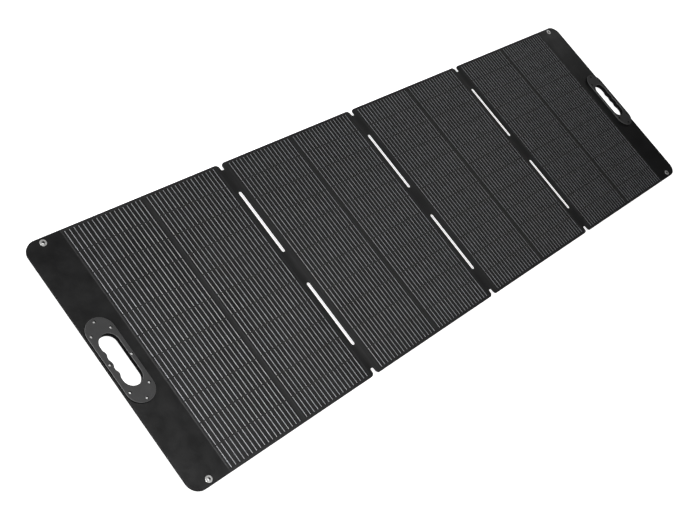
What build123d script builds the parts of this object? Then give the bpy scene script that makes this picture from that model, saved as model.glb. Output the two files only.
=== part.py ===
from build123d import *
import os

# A four-panel folding solar panel, one thin laminate that folds like an accordion and is carried by a
# grip plate at each end. +X runs along the unfolded panels, +Y across them, and the cells face +Z.
# The origin is on the ground below the middle, and all sizes are in millimetres.

# ---- cells -----------------------------------------------------------------------------------------
CELL_X = 182.0              # one quarter-cut cell, along X
CELL_Y = 47.0               # and along Y
CELL_T = 0.3
ROW_GAP = 1.25              # between cells in a column
COLUMN_GAP = 7.8            # between the two columns of a panel
ROWS = 11
COLUMNS = 2

# ---- laminate, from the back face up ---------------------------------------------------------------
FABRIC_T = 0.6
BOARD_T = 2.6
ENCAPSULANT_T = 0.9
FILM_T = 0.5
SIDE_MARGIN = 5.75          # from a long edge to the cells
CORNER_R = 27.0             # the four outer corners

# ---- folds -----------------------------------------------------------------------------------------
FLEX_W = 24.0               # the bare web between two stiff panels
HINGE_MARGIN = 5.0          # from the web to the cells
WEB_T = 1.2
FOLD_CLEARANCE = 0.15       # from each half of a web to the fold line
SLOT_W = 7.5
MIDDLE_BRIDGE = 80.0        # the web left between a fold's two slots
END_BRIDGE = 73.5           # from a long edge to a slot
NOTCH_DEPTH = 15.0
NOTCH_W = 7.5               # at the notch's blunt tip
NOTCH_TIP_R = 2.0
NOTCH_SHOULDER = 6.0        # from a long edge to where the notch's sides start
NOTCH_TAPER = 0.5           # how much wider each side is there than at the tip
NOTCH_FLARE_BACK = 1.6      # from a long edge to the middle of the flared shoulder
NOTCH_LEAN = 0.1            # the sides' lean as the flare starts, across per unit along

# ---- end flaps -------------------------------------------------------------------------------------
FLAP_W = 81.0               # from an outer edge to the stiff cell panel
FLAP_MARGIN = 3.0           # from the flap to the cells

# ---- eyelets ---------------------------------------------------------------------------------------
EYELET_FROM_END = 40.0
EYELET_FROM_SIDE = 11.3
EYELET_BORE_R = 3.25
EYELET_WALL = 0.8
EYELET_FLANGE_R = 7.0
EYELET_FLANGE_T = 1.0
EYELET_ROLL_R = 5.4
EYELET_ROLL_T = 0.5
WASHER_T = 0.6
EYELET_CLEARANCE = 0.15
EYELET_DOME_R = 0.8         # the round on the flange's rim

# ---- grip plates -----------------------------------------------------------------------------------
HANDLE_FROM_END = 1.5       # from an outer edge to the plate
PLATE_SIDE = 9.5            # the plate beside the grip hole, when that is in the middle
PLATE_END = 35.0            # and beyond each end of it
FRONT_PLATE_T = 5.0
REAR_PLATE_T = 3.0
RIM_CHAMFER = 0.6
GRIP_W = 39.0
GRIP_L = 109.0
GRIP_OFFSET = 1.3           # the grip hole sits this far inboard of the plate's centre
FINGER_PITCH = 20.6
FINGER_RISE = 2.7
FINGERS = 3                 # ridges between the fingers
COLLAR_T = 2.0              # the front plate's lip through the flap, at its thinnest
COLLAR_CLEARANCE = 0.3

# ---- grip screws and inserts -----------------------------------------------------------------------
SCREW_R = 1.4
SCREW_HEAD_R = 2.3
SCREW_HEAD_T = 1.1
SCREW_SINK_R = 3.0
SCREW_SINK = 4.0            # the depth of a screw's seat below the plate's face
SCREW_HOLE_CLEARANCE = 0.15
DRIVE_W = 0.7
DRIVE_L = 2.8
DRIVE_DEPTH = 0.6
INSERT_R = 2.3
INSERT_T = 2.0
SCREW_TO_END = 7.0          # from the plate's rounded end to the screw on its centre line
CORNER_SCREW_IN = 8.1       # from the plate's side to the screws near its corners
CORNER_SCREW_BACK = 29.2    # and from its end

# ---- ribbons ---------------------------------------------------------------------------------------
RIBBON_W = 3.0
RIBBON_T = 0.2
LEAD_W = 8.0                # the flat lead in each end bridge of a fold

# ---- junction box, on the back of the last panel ----------------------------------------------------
BOX_X = 56.0
BOX_Y = 116.0
BOX_WALL = 1.6
BOX_CORNER_R = 5.0
BOX_FROM_HANDLE = 4.0
LID_CHAMFER = 0.6
PAD_T = 0.4
PAD_INSET = 1.0             # from the box's side to the pad
INNER_CORNER_R = 1.0        # the least that an inner corner is rounded
BOX_SEAL_T = 0.8
BOX_SEAL_W = 1.0
BOSS_R = 3.2
BOSS_BITE = 0.6             # how far a boss runs into the walls beside it
BOSS_INSET = 0.2            # and how far it stays inside their outer faces
BOX_SCREW_R = 1.1
BOX_SCREW_HEAD_R = 2.1
BOX_SCREW_LENGTH = 7.0
BOX_SCREW_SINK = 0.9
BOX_SCREW_BELOW = 0.1       # from the lid's face to the screw's head
BOX_SCREW_CLEARANCE = 0.1
BOX_HEAD_CLEARANCE = 0.2
BOX_DRIVE_L = 3.0
BOX_DRIVE_W = 0.6
BOX_DRIVE_DEPTH = 0.5
FEED_W = 10.0
FEED_GAP = 40.0             # between the two feed strips
FEED_CLEARANCE = 0.4        # beside a strip, in its slot in the tray
FEED_SLOT_IN = 1.2          # the slot's reach inboard of the strip's middle
FEED_SLOT_OUT = 0.8         # and outboard of it
TERMINAL_T = 0.8
TERMINAL_INBOARD = 4.0      # the terminals' reach inboard of the box's middle
DIODE_GAP = 1.0             # from a terminal to its diode
DIODE_BODY = (9.0, 15.0, 4.4)
DIODE_TAB = (15.0, 1.2)     # a diode's metal tab, its length and thickness

# ---- cable gland -----------------------------------------------------------------------------------
GLAND_BORE_R = 2.3          # the rubber insert's, which grips the cable
PASSAGE_CLEARANCE = 0.6     # round the cable in the cap, body and wall
INSERT_WALL = 0.8
GLAND_INSERT_L = 9.0
THREAD_WALL = 0.5           # the body's tube, through the box's wall
THREAD_L = 5.0
SPIGOT_WALL = 0.8           # the body's tube round the insert, under the cap
SPIGOT_L = 4.0
LOCKNUT_WALL = 0.8          # from the thread to the locknut's flats
LOCKNUT_CLEARANCE = 0.2     # from its flats to the lid and to the tray's floor
FLANGE_STEP = 0.8           # from the locknut's flats to the flange's, which are wider
GLAND_FLANGE_L = 3.0
CAP_WALL = 1.0
CAP_L = 9.0
CAP_LIP = 1.2
CAP_ROUND = 1.5
LOCKNUT_T = 2.2
GLAND_CLEARANCE = 0.1

# ---- places worked out from the sizes above --------------------------------------------------------
CUT = 1.0                   # how far a cutting tool runs past the face that it cuts
COLUMN_SPAN = COLUMNS * CELL_X + (COLUMNS - 1) * COLUMN_GAP
ROW_SPAN = ROWS * CELL_Y + (ROWS - 1) * ROW_GAP
WIDTH = ROW_SPAN + 2 * SIDE_MARGIN
HALF_WIDTH = WIDTH / 2
FOLD_TO_CELL = FLEX_W / 2 + HINGE_MARGIN
PITCH = COLUMN_SPAN + 2 * FOLD_TO_CELL
FLAP_TO_CELL = FLAP_W + FLAP_MARGIN
HALF_LENGTH = PITCH + FOLD_TO_CELL + COLUMN_SPAN + FLAP_TO_CELL
SLOT_L = HALF_WIDTH - END_BRIDGE - MIDDLE_BRIDGE / 2
SLOT_Y = (MIDDLE_BRIDGE + SLOT_L) / 2

PASSAGE_R = GLAND_BORE_R + PASSAGE_CLEARANCE
THREAD_R = PASSAGE_R + THREAD_WALL
GLAND_INSERT_R = GLAND_BORE_R + INSERT_WALL
SPIGOT_R = GLAND_INSERT_R + SPIGOT_WALL
CAP_R = SPIGOT_R + GLAND_CLEARANCE + CAP_WALL
LOCKNUT_FLATS = 2 * (THREAD_R + LOCKNUT_WALL)
GLAND_FLATS = LOCKNUT_FLATS + 2 * FLANGE_STEP
BOX_T = LOCKNUT_FLATS + 2 * (BOX_WALL + LOCKNUT_CLEARANCE)
GLAND_Z = BOX_T / 2                           # the gland's axis, half way up the box

Z_BACK = BOX_T + PAD_T                        # the laminate's back face stands on the junction box
Z_BOARD = Z_BACK + FABRIC_T
Z_ENCAPSULANT = Z_BOARD + BOARD_T
Z_FILM = Z_ENCAPSULANT + ENCAPSULANT_T
Z_FRONT = Z_FILM + FILM_T
Z_CELL = Z_FILM - CELL_T
Z_WEB = (Z_BACK + Z_FRONT - WEB_T) / 2
Z_LEAD = Z_WEB + (WEB_T - RIBBON_T) / 2

HANDLE_W = GRIP_W + 2 * PLATE_SIDE
HANDLE_L = GRIP_L + 2 * PLATE_END
HANDLE_X = HALF_LENGTH - HANDLE_FROM_END - HANDLE_W / 2
SCREW_END_Y = HANDLE_L / 2 - SCREW_TO_END
SCREW_CORNER_X = HANDLE_W / 2 - CORNER_SCREW_IN
SCREW_CORNER_Y = HANDLE_L / 2 - CORNER_SCREW_BACK
SCREW_OUTBOARD = (HANDLE_W / 2 + GRIP_W / 2 - GRIP_OFFSET - FINGER_RISE) / 2
SCREW_INBOARD = (HANDLE_W / 2 + GRIP_W / 2 + GRIP_OFFSET) / 2
BOX_CX = HANDLE_X - HANDLE_W / 2 - BOX_FROM_HANDLE - BOX_X / 2
FEED_X = HALF_LENGTH - FLAP_W - RIBBON_W / 2
EYELET_X = HALF_LENGTH - EYELET_FROM_END
EYELET_Y = HALF_WIDTH - EYELET_FROM_SIDE
EYELET_HOLE_R = EYELET_BORE_R + EYELET_WALL + EYELET_CLEARANCE

# Each panel's stiff span along X, and the lower X of its two columns of cells.
PANELS = {
    1: (-HALF_LENGTH, -PITCH - FLEX_W / 2, -PITCH - FOLD_TO_CELL - COLUMN_SPAN),
    2: (-PITCH + FLEX_W / 2, -FLEX_W / 2, -PITCH + FOLD_TO_CELL),
    3: (FLEX_W / 2, PITCH - FLEX_W / 2, FOLD_TO_CELL),
    4: (PITCH + FLEX_W / 2, HALF_LENGTH, PITCH + FOLD_TO_CELL),
}
FOLDS = {1: -PITCH, 2: 0.0, 3: PITCH}
ENDS = {1: -1, 4: 1}                          # the end panels, and which way their flaps point


def block(x0, x1, y0, y1, z0, z1):
    """A box between two corners."""
    centre = Pos((x0 + x1) / 2, (y0 + y1) / 2, (z0 + z1) / 2)
    return centre * Box(abs(x1 - x0), abs(y1 - y0), abs(z1 - z0))


def plate(face, z0, z1):
    """A flat face raised from z0 to z1."""
    return Pos(0, 0, z0) * extrude(face, z1 - z0)


def rod(x, y, z0, z1, radius):
    """An upright cylinder."""
    return Pos(x, y, (z0 + z1) / 2) * Cylinder(radius, z1 - z0)


def ring(x, y, z0, z1, outer, inner):
    """An upright tube."""
    return rod(x, y, z0, z1, outer) - rod(x, y, z0 - CUT, z1 + CUT, inner)


def stadium(width, length):
    """A face with straight sides and round ends, its length along Y."""
    return Rot(0, 0, 90) * SlotOverall(length, width)


def save(node, *solids):
    """Writes one node, its pieces kept as separate solids."""
    pieces = []
    for solid in solids:
        pieces += solid.solids()
    shape = pieces[0] if len(pieces) == 1 else Compound(children=pieces)
    export_step(shape, f"parts/{node}.step")


# ---- what repeats in a panel -----------------------------------------------------------------------
def outline(panel):
    """The face of a panel's stiff span, with round outer corners on an end panel."""
    x0, x1, _ = PANELS[panel]
    face = Pos((x0 + x1) / 2, 0) * Rectangle(x1 - x0, WIDTH)
    if panel in ENDS:
        corners = face.vertices().sort_by(Axis.X)
        outer = corners[:2] if ENDS[panel] < 0 else corners[-2:]
        face = fillet(outer, CORNER_R)
    return face


def flap_cutters(end):
    """What is cut through every layer of a flap: the grip's passage, its screw holes and the eyelets."""
    margin = 2 * (COLLAR_T + COLLAR_CLEARANCE)
    passage = stadium(GRIP_W + margin, GRIP_L + margin)
    centre = end * (HANDLE_X - GRIP_OFFSET)
    cutters = [plate(Pos(centre, 0) * passage, Z_BACK - CUT, Z_FRONT + CUT)]
    for x, y in screw_places(end):
        cutters.append(rod(x, y, Z_BACK - CUT, Z_FRONT + CUT, SCREW_R + SCREW_HOLE_CLEARANCE))
    for y in (-EYELET_Y, EYELET_Y):
        cutters.append(rod(end * EYELET_X, y, Z_BACK - CUT, Z_FRONT + CUT, EYELET_HOLE_R))
    return cutters


def cut(solid, cutters):
    """A solid with each cutter taken out of it."""
    for cutter in cutters:
        solid = solid - cutter
    return solid


def cell_places(panel):
    """The centre of every cell in a panel."""
    first_x = PANELS[panel][2] + CELL_X / 2
    first_y = -ROW_SPAN / 2 + CELL_Y / 2
    places = []
    for column in range(COLUMNS):
        for row in range(ROWS):
            x = first_x + column * (CELL_X + COLUMN_GAP)
            y = first_y + row * (CELL_Y + ROW_GAP)
            places.append((x, y))
    return places


def fold_leads(panel):
    """The conductors that reach a panel's folds, each from the end ribbon to the fold line."""
    x0, x1, _ = PANELS[panel]
    sides = []
    if panel > 1:
        sides.append((x0, -1))
    if panel < 4:
        sides.append((x1, 1))
    leads = []
    for edge, outward in sides:
        tip = edge + outward * (FLEX_W / 2 - FOLD_CLEARANCE)
        inner = edge - outward * (HINGE_MARGIN + RIBBON_W) / 2
        outer = inner + outward * RIBBON_W
        for side in (-1, 1):
            lead_y = side * (HALF_WIDTH - (END_BRIDGE + NOTCH_DEPTH) / 2)
            low = lead_y - LEAD_W / 2
            high = lead_y + LEAD_W / 2
            end_y = side * (ROW_SPAN / 2 + SIDE_MARGIN / 2 + RIBBON_W / 2)
            run = block(inner, outer, lead_y, end_y, Z_CELL, Z_CELL + RIBBON_T)
            riser = block(inner, outer, low, high, Z_LEAD, Z_CELL + RIBBON_T)
            lead = block(inner, tip, low, high, Z_LEAD, Z_LEAD + RIBBON_T)
            leads.append(run + riser + lead)
    return leads


def feed_strips():
    """The two strips that drop from the last panel's end ribbons into the junction box."""
    strips = []
    foot = Z_BACK - PAD_T - BOX_WALL - TERMINAL_T
    inner = FEED_X - RIBBON_W / 2
    outer = FEED_X + RIBBON_W / 2
    for side in (-1, 1):
        y0 = side * FEED_GAP / 2
        y1 = side * (FEED_GAP / 2 + FEED_W)
        end_y = side * (ROW_SPAN / 2 + SIDE_MARGIN / 2 + RIBBON_W / 2)
        run = block(inner + RIBBON_T, outer, y0, end_y, Z_CELL, Z_CELL + RIBBON_T)
        drop = block(outer - RIBBON_T, outer, y0, y1, foot, Z_CELL + RIBBON_T)
        strips.append(run + drop)
    return strips


def end_ribbons(panel):
    """The ribbons that join a panel's two columns, one beyond each end of them."""
    x0 = PANELS[panel][2]
    ribbons = []
    for side in (-1, 1):
        middle = side * (ROW_SPAN / 2 + SIDE_MARGIN / 2)
        low = middle - RIBBON_W / 2
        high = middle + RIBBON_W / 2
        ribbons.append(block(x0, x0 + COLUMN_SPAN, low, high, Z_CELL, Z_CELL + RIBBON_T))
    return ribbons


def panel_ribbons(panel):
    """One panel's ribbons with the leads that hang on them, fused where they meet."""
    joined = end_ribbons(panel)[0] + end_ribbons(panel)[1]
    for lead in fold_leads(panel):
        joined = joined + stretch_to_ribbon(panel, lead)
    return joined


def stretch_to_ribbon(panel, lead):
    """A lead with the short tie that carries it over the last few millimetres to its end ribbon."""
    box = lead.bounding_box()
    x0 = PANELS[panel][2]
    side = 1 if box.max.Y > 0 else -1
    middle = side * (ROW_SPAN / 2 + SIDE_MARGIN / 2)
    right = box.max.X > x0 + COLUMN_SPAN
    start = x0 + COLUMN_SPAN - RIBBON_W if right else x0 + RIBBON_W
    stop = x0 + COLUMN_SPAN + HINGE_MARGIN / 2 if right else x0 - HINGE_MARGIN / 2
    tie = block(start, stop, middle - RIBBON_W / 2, middle + RIBBON_W / 2, Z_CELL, Z_CELL + RIBBON_T)
    return lead + tie


def stiff_face(panel):
    """The face of a panel's stiff board, which stops short of the flap on an end panel."""
    x0, x1, _ = PANELS[panel]
    if panel in ENDS:
        if ENDS[panel] < 0:
            x0 = x0 + FLAP_W
        else:
            x1 = x1 - FLAP_W
    return Pos((x0 + x1) / 2, 0) * Rectangle(x1 - x0, WIDTH)


def flap_face(panel):
    """The face of an end panel's flap, beyond the stiff board."""
    return outline(panel) - stiff_face(panel)


# ---- grip plates -----------------------------------------------------------------------------------
def screw_places(end):
    """The eight screws of one grip plate."""
    places = []
    for y in (-SCREW_END_Y, SCREW_END_Y):
        places.append((end * HANDLE_X, y))
    for x in (-SCREW_CORNER_X, SCREW_CORNER_X):
        for y in (-SCREW_CORNER_Y, SCREW_CORNER_Y):
            places.append((end * (HANDLE_X + x), y))
    places.append((end * (HANDLE_X + SCREW_OUTBOARD), 0.0))
    places.append((end * (HANDLE_X - SCREW_INBOARD), 0.0))
    return places


def grip_face(end):
    """The grip hole: round ends, a straight inboard side and a wavy outboard side for the fingers."""
    half = GRIP_W / 2
    straight = GRIP_L / 2 - half
    quarter = FINGER_PITCH / 4
    reach = FINGERS * FINGER_PITCH / 2
    middle = half - FINGER_RISE / 2
    peak = half - FINGER_RISE
    top = ThreePointArc((half, straight), (0, straight + half), (-half, straight))
    bottom = ThreePointArc((-half, -straight), (0, -straight - half), (half, -straight))
    edges = [top, Line((-half, straight), (-half, -straight)), bottom]
    for side in (-1, 1):
        outer = (half, side * reach)
        edges.append(Line((half, side * straight), outer))
        edges.append(TangentArc(outer, (middle, side * (reach - quarter)), tangent=(0, -side)))
    for finger in range(FINGERS):
        y = (finger - (FINGERS - 1) / 2) * FINGER_PITCH
        edges.append(ThreePointArc((middle, y - quarter), (peak, y), (middle, y + quarter)))
        if finger > 0:
            valley = y - FINGER_PITCH / 2
            edges.append(
                ThreePointArc((middle, valley - quarter), (half, valley), (middle, valley + quarter))
            )
    face = make_face(edges)
    if end < 0:
        face = mirror(face, Plane.YZ)
    return Pos(end * (HANDLE_X - GRIP_OFFSET), 0) * face


def front_plate(end):
    """The front grip plate, with its bevelled rims, sunk screw seats and the lip through the flap."""
    top = Z_FRONT + FRONT_PLATE_T
    body = plate(Pos(end * HANDLE_X, 0) * stadium(HANDLE_W, HANDLE_L), Z_FRONT, top)
    lip_face = stadium(GRIP_W + 2 * COLLAR_T, GRIP_L + 2 * COLLAR_T)
    body = body + plate(Pos(end * (HANDLE_X - GRIP_OFFSET), 0) * lip_face, Z_BACK, Z_FRONT + CUT / 2)
    body = body - plate(grip_face(end), Z_BACK - CUT, top + CUT)
    body = chamfer(body.faces().sort_by(Axis.Z)[-1].edges(), RIM_CHAMFER)
    for x, y in screw_places(end):
        body = body - rod(x, y, top - SCREW_SINK, top + CUT, SCREW_SINK_R)
        body = body - rod(x, y, Z_BACK - CUT, top, SCREW_R + SCREW_HOLE_CLEARANCE)
    return body


def rear_plate(end):
    """The rear grip plate, with a seat for each threaded insert."""
    bottom = Z_BACK - REAR_PLATE_T
    body = plate(Pos(end * HANDLE_X, 0) * stadium(HANDLE_W, HANDLE_L), bottom, Z_BACK)
    body = body - plate(grip_face(end), bottom - CUT, Z_BACK + CUT)
    body = chamfer(body.faces().sort_by(Axis.Z)[0].edges(), RIM_CHAMFER)
    for x, y in screw_places(end):
        body = body - rod(x, y, Z_BACK - INSERT_T, Z_BACK + CUT, INSERT_R)
    return body


def grip_screw(x, y):
    """A pan-head screw with a cross drive, its head sunk in the front plate."""
    seat = Z_FRONT + FRONT_PLATE_T - SCREW_SINK
    head_top = seat + SCREW_HEAD_T
    head = rod(x, y, seat, head_top, SCREW_HEAD_R)
    head = fillet(head.edges().sort_by(Axis.Z)[-1], SCREW_HEAD_T / 2)
    for across, along in ((DRIVE_L / 2, DRIVE_W / 2), (DRIVE_W / 2, DRIVE_L / 2)):
        low = head_top - DRIVE_DEPTH
        head = head - block(x - across, x + across, y - along, y + along, low, head_top + CUT)
    return head + rod(x, y, Z_BACK - INSERT_T, seat + CUT / 2, SCREW_R)


def screw_insert(x, y):
    """A threaded insert moulded into the rear plate."""
    return ring(x, y, Z_BACK - INSERT_T, Z_BACK, INSERT_R, SCREW_R)


# ---- eyelets ---------------------------------------------------------------------------------------
def eyelet(x, y):
    """A brass eyelet: a domed flange on the front, a barrel, and the rim rolled over at the back."""
    top = Z_FRONT + EYELET_FLANGE_T
    foot = Z_BACK - WASHER_T - EYELET_ROLL_T
    flange = rod(x, y, Z_FRONT, top, EYELET_FLANGE_R)
    flange = fillet(flange.edges().sort_by(Axis.Z)[-1], EYELET_DOME_R)
    barrel = rod(x, y, foot, top, EYELET_BORE_R + EYELET_WALL)
    roll = rod(x, y, foot, Z_BACK - WASHER_T, EYELET_ROLL_R)
    return flange + barrel + roll - rod(x, y, foot - CUT, top + CUT, EYELET_BORE_R)


def eyelet_washer(x, y):
    """The washer that an eyelet's rolled rim holds against the fabric."""
    return ring(x, y, Z_BACK - WASHER_T, Z_BACK, EYELET_FLANGE_R, EYELET_HOLE_R)


# ---- fold webs -------------------------------------------------------------------------------------
def web_face(side):
    """One half of a fold's web, on the side of the fold line that side gives, about x = 0."""
    inner = FOLD_CLEARANCE
    outer = FLEX_W / 2
    face = Pos(side * (inner + outer) / 2, 0) * Rectangle(outer - inner, WIDTH)
    for y in (-SLOT_Y, SLOT_Y):
        face = face - Pos(0, y) * stadium(SLOT_W, SLOT_L)
    for edge in (-1, 1):
        face = face - notch(edge)
    return face


def notch(edge):
    """The notch that a fold has at a long edge: blunt at its tip and flared to the round corners."""
    tip = edge * (HALF_WIDTH - NOTCH_DEPTH)
    shoulder = edge * (HALF_WIDTH - NOTCH_SHOULDER)
    mouth = edge * (HALF_WIDTH + CUT)
    half_tip = NOTCH_W / 2
    neck = half_tip + NOTCH_TAPER
    flare = (half_tip + FLEX_W / 2) / 2
    rim = FLEX_W / 2 - CUT / 2
    edges = []
    for side in (-1, 1):
        wall = Line((side * half_tip, tip), (side * neck, shoulder))
        curve = Spline(
            (side * neck, shoulder), (side * flare, edge * (HALF_WIDTH - NOTCH_FLARE_BACK)),
            (side * rim, edge * HALF_WIDTH), tangents=((side * NOTCH_LEAN, edge), (side, 0.0)),
        )
        lift = Line((side * rim, edge * HALF_WIDTH), (side * rim, mouth))
        edges += [wall, curve, lift]
    edges.append(Line((-half_tip, tip), (half_tip, tip)))
    edges.append(Line((-rim, mouth), (rim, mouth)))
    face = make_face(edges)
    tips = sorted(face.vertices(), key=lambda vertex: edge * vertex.Y)[:2]
    return fillet(tips, NOTCH_TIP_R)


# ---- junction box ----------------------------------------------------------------------------------
def box_face(inset):
    """The junction box's outline, drawn in by inset."""
    radius = max(BOX_CORNER_R - inset, INNER_CORNER_R)
    return Pos(BOX_CX, 0) * RectangleRounded(BOX_X - 2 * inset, BOX_Y - 2 * inset, radius)


def boss_places():
    """The box's four corner bosses."""
    places = []
    inset = BOX_WALL + BOSS_R - BOSS_BITE
    for x in (-1, 1):
        for y in (-1, 1):
            places.append((BOX_CX + x * (BOX_X / 2 - inset), y * (BOX_Y / 2 - inset)))
    return places


def box_base():
    """The box's open tray, its floor against the panel, with bosses, feed slots and the gland's hole."""
    top = BOX_T
    rim = BOX_WALL
    tray = plate(box_face(0), rim, top) - plate(box_face(BOX_WALL), rim - CUT, top - BOX_WALL)
    for x, y in boss_places():
        boss = rod(x, y, rim, top - BOX_WALL + CUT / 2, BOSS_R)
        tray = tray + (boss & plate(box_face(BOSS_INSET), 0, top))
        tray = tray - rod(x, y, rim - CUT, BOX_SCREW_LENGTH, BOX_SCREW_R)
    for y in (-1, 1):
        middle = y * (FEED_GAP + FEED_W) / 2
        low = middle - FEED_W / 2 - FEED_CLEARANCE
        high = middle + FEED_W / 2 + FEED_CLEARANCE
        slot_x = FEED_X + RIBBON_W / 2
        left = slot_x - FEED_SLOT_IN
        tray = tray - block(left, slot_x + FEED_SLOT_OUT, low, high, top - BOX_WALL - CUT, top + CUT)
    gland_hole = lying(-BOX_Y / 2 - CUT, -BOX_Y / 2 + BOX_WALL + CUT, THREAD_R + GLAND_CLEARANCE)
    return tray - gland_hole - seal_ring()


def seal_ring():
    """The rubber cord seal, in a groove of the tray's rim."""
    middle = BOX_WALL / 2
    outer = box_face(middle - BOX_SEAL_W / 2)
    inner = box_face(middle + BOX_SEAL_W / 2)
    return plate(outer - inner, BOX_WALL, BOX_WALL + BOX_SEAL_T)


def box_lid():
    """The lid, flat on the outside, with sunk seats for its screws."""
    lid = plate(box_face(0), 0, BOX_WALL)
    lid = chamfer(lid.faces().sort_by(Axis.Z)[0].edges(), LID_CHAMFER)
    for x, y in boss_places():
        lid = lid - rod(x, y, -CUT, BOX_WALL + CUT, BOX_SCREW_R + BOX_SCREW_CLEARANCE)
        lid = lid - rod(x, y, -CUT, BOX_SCREW_SINK, BOX_SCREW_HEAD_R + BOX_HEAD_CLEARANCE)
    return lid


def box_screw(x, y):
    """A lid screw, its flat head sunk in the lid."""
    head = rod(x, y, BOX_SCREW_BELOW, BOX_SCREW_SINK, BOX_SCREW_HEAD_R)
    shank = rod(x, y, BOX_SCREW_BELOW, BOX_SCREW_LENGTH, BOX_SCREW_R)
    half_l = BOX_DRIVE_L / 2
    half_w = BOX_DRIVE_W / 2
    return head + shank - block(x - half_l, x + half_l, y - half_w, y + half_w, -CUT, BOX_DRIVE_DEPTH)


def lying(y0, y1, radius):
    """A cylinder along Y on the gland's axis."""
    place = Pos(BOX_CX, (y0 + y1) / 2, GLAND_Z) * Rot(90, 0, 0)
    return place * Cylinder(radius, y1 - y0)


def hexagon(y0, y1, flats):
    """A hexagonal bar along Y on the gland's axis, with a flat down."""
    bar = extrude(RegularPolygon(flats / 2, 6, major_radius=False), y1 - y0)
    return Pos(BOX_CX, y1, GLAND_Z) * Rot(90, 0, 0) * bar


# ---- the panels ------------------------------------------------------------------------------------
os.makedirs("parts", exist_ok=True)

for panel in PANELS:
    holes = flap_cutters(ENDS[panel]) if panel in ENDS else []
    feeds = feed_strips() if panel == 4 else []
    ribbons = [panel_ribbons(panel)]
    cells = []
    for x, y in cell_places(panel):
        cells.append(block(x - CELL_X / 2, x + CELL_X / 2, y - CELL_Y / 2, y + CELL_Y / 2, Z_CELL, Z_FILM))
    encapsulant = plate(stiff_face(panel), Z_ENCAPSULANT, Z_FILM)
    board = plate(stiff_face(panel), Z_BOARD, Z_ENCAPSULANT)
    fabric = plate(outline(panel), Z_BACK, Z_BOARD)
    film = plate(outline(panel), Z_FILM, Z_FRONT)
    save(f"panel_{panel}_cells", *cells)
    save(f"panel_{panel}_bus_ribbons", *ribbons)
    save(f"panel_{panel}_encapsulant", cut(encapsulant, cells + ribbons + feeds))
    save(f"panel_{panel}_stiffener_board", cut(board, ribbons + feeds))
    save(f"panel_{panel}_back_fabric", cut(fabric, holes + feeds))
    save(f"panel_{panel}_front_film", cut(film, holes))
    if panel in ENDS:
        save(f"panel_{panel}_flap_board", cut(plate(flap_face(panel), Z_BOARD, Z_FILM), holes + feeds))

# ---- the fold webs, each in two halves that meet at the fold line -----------------------------------
for fold, fold_x in FOLDS.items():
    for side, name in ((-1, "left"), (1, "right")):
        panel = fold if side < 0 else fold + 1
        half = plate(Pos(fold_x, 0) * web_face(side), Z_WEB, Z_WEB + WEB_T)
        save(f"fold_{fold}_web_{name}", cut(half, fold_leads(panel)))

# ---- the grips and eyelets -------------------------------------------------------------------------
for panel, end in ENDS.items():
    save(f"handle_{panel}_front_plate", front_plate(end))
    save(f"handle_{panel}_rear_plate", rear_plate(end))
    save(f"handle_{panel}_screws", *[grip_screw(x, y) for x, y in screw_places(end)])
    save(f"handle_{panel}_inserts", *[screw_insert(x, y) for x, y in screw_places(end)])
    eyelet_places = [(end * EYELET_X, -EYELET_Y), (end * EYELET_X, EYELET_Y)]
    save(f"panel_{panel}_eyelets", *[eyelet(x, y) for x, y in eyelet_places])
    save(f"panel_{panel}_eyelet_washers", *[eyelet_washer(x, y) for x, y in eyelet_places])

# ---- the junction box and what is in it ------------------------------------------------------------
floor_z = BOX_T - BOX_WALL                    # the tray's inner floor, towards the panel
save("junction_box_base", box_base())
save("junction_box_lid", box_lid())
save("junction_box_seal", seal_ring())
save("junction_box_screws", *[box_screw(x, y) for x, y in boss_places()])
save("junction_box_pad", cut(plate(box_face(PAD_INSET), BOX_T, Z_BACK), feed_strips()))
save("feed_strips", *feed_strips())

terminals = []
diodes = []
for side in (-1, 1):
    strip_y = side * (FEED_GAP + FEED_W) / 2
    inboard = BOX_CX - TERMINAL_INBOARD
    outboard = FEED_X + RIBBON_W / 2 - RIBBON_T
    low = strip_y - FEED_W / 2
    terminals.append(block(inboard, outboard, low, low + FEED_W, floor_z - TERMINAL_T, floor_z))
    tab_length, tab_t = DIODE_TAB
    body_x, body_y, body_z = DIODE_BODY
    right = inboard - DIODE_GAP
    left = right - body_x
    foot = strip_y - body_y / 2
    tab = block(left, right, foot, foot + tab_length, floor_z - tab_t, floor_z)
    case = block(left, right, foot, strip_y, floor_z - body_z, floor_z - tab_t)
    diodes.append(tab + case)
save("terminals", *terminals)
save("bypass_diodes", *diodes)

# ---- the cable gland, out of the box's end ----------------------------------------------------------
wall_y = -BOX_Y / 2
flange_y = wall_y - GLAND_FLANGE_L
spigot_end = flange_y - SPIGOT_L
body = hexagon(flange_y, wall_y, GLAND_FLATS) + lying(wall_y - CUT / 2, wall_y + THREAD_L, THREAD_R)
body = body + lying(spigot_end, flange_y + CUT / 2, SPIGOT_R)
body = body - lying(spigot_end - CUT, wall_y + THREAD_L + CUT, PASSAGE_R)
cap_end = flange_y - CAP_L
insert_y = cap_end + CAP_LIP
insert_end = insert_y + GLAND_INSERT_L
body = body - lying(spigot_end - CUT, insert_end, GLAND_INSERT_R)
cap = fillet(lying(cap_end, flange_y, CAP_R).edges().sort_by(Axis.Y)[0], CAP_ROUND)
cap = cap - lying(insert_y, flange_y + CUT, SPIGOT_R + GLAND_CLEARANCE)
cap = cap - lying(cap_end - CUT, flange_y, PASSAGE_R)
insert = lying(insert_y, insert_end, GLAND_INSERT_R)
insert = insert - lying(insert_y - CUT, insert_end + CUT, GLAND_BORE_R)
nut_y = wall_y + BOX_WALL
locknut = hexagon(nut_y, nut_y + LOCKNUT_T, LOCKNUT_FLATS)
locknut = locknut - lying(nut_y - CUT, nut_y + LOCKNUT_T + CUT, THREAD_R)
save("gland_body", body)
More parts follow.
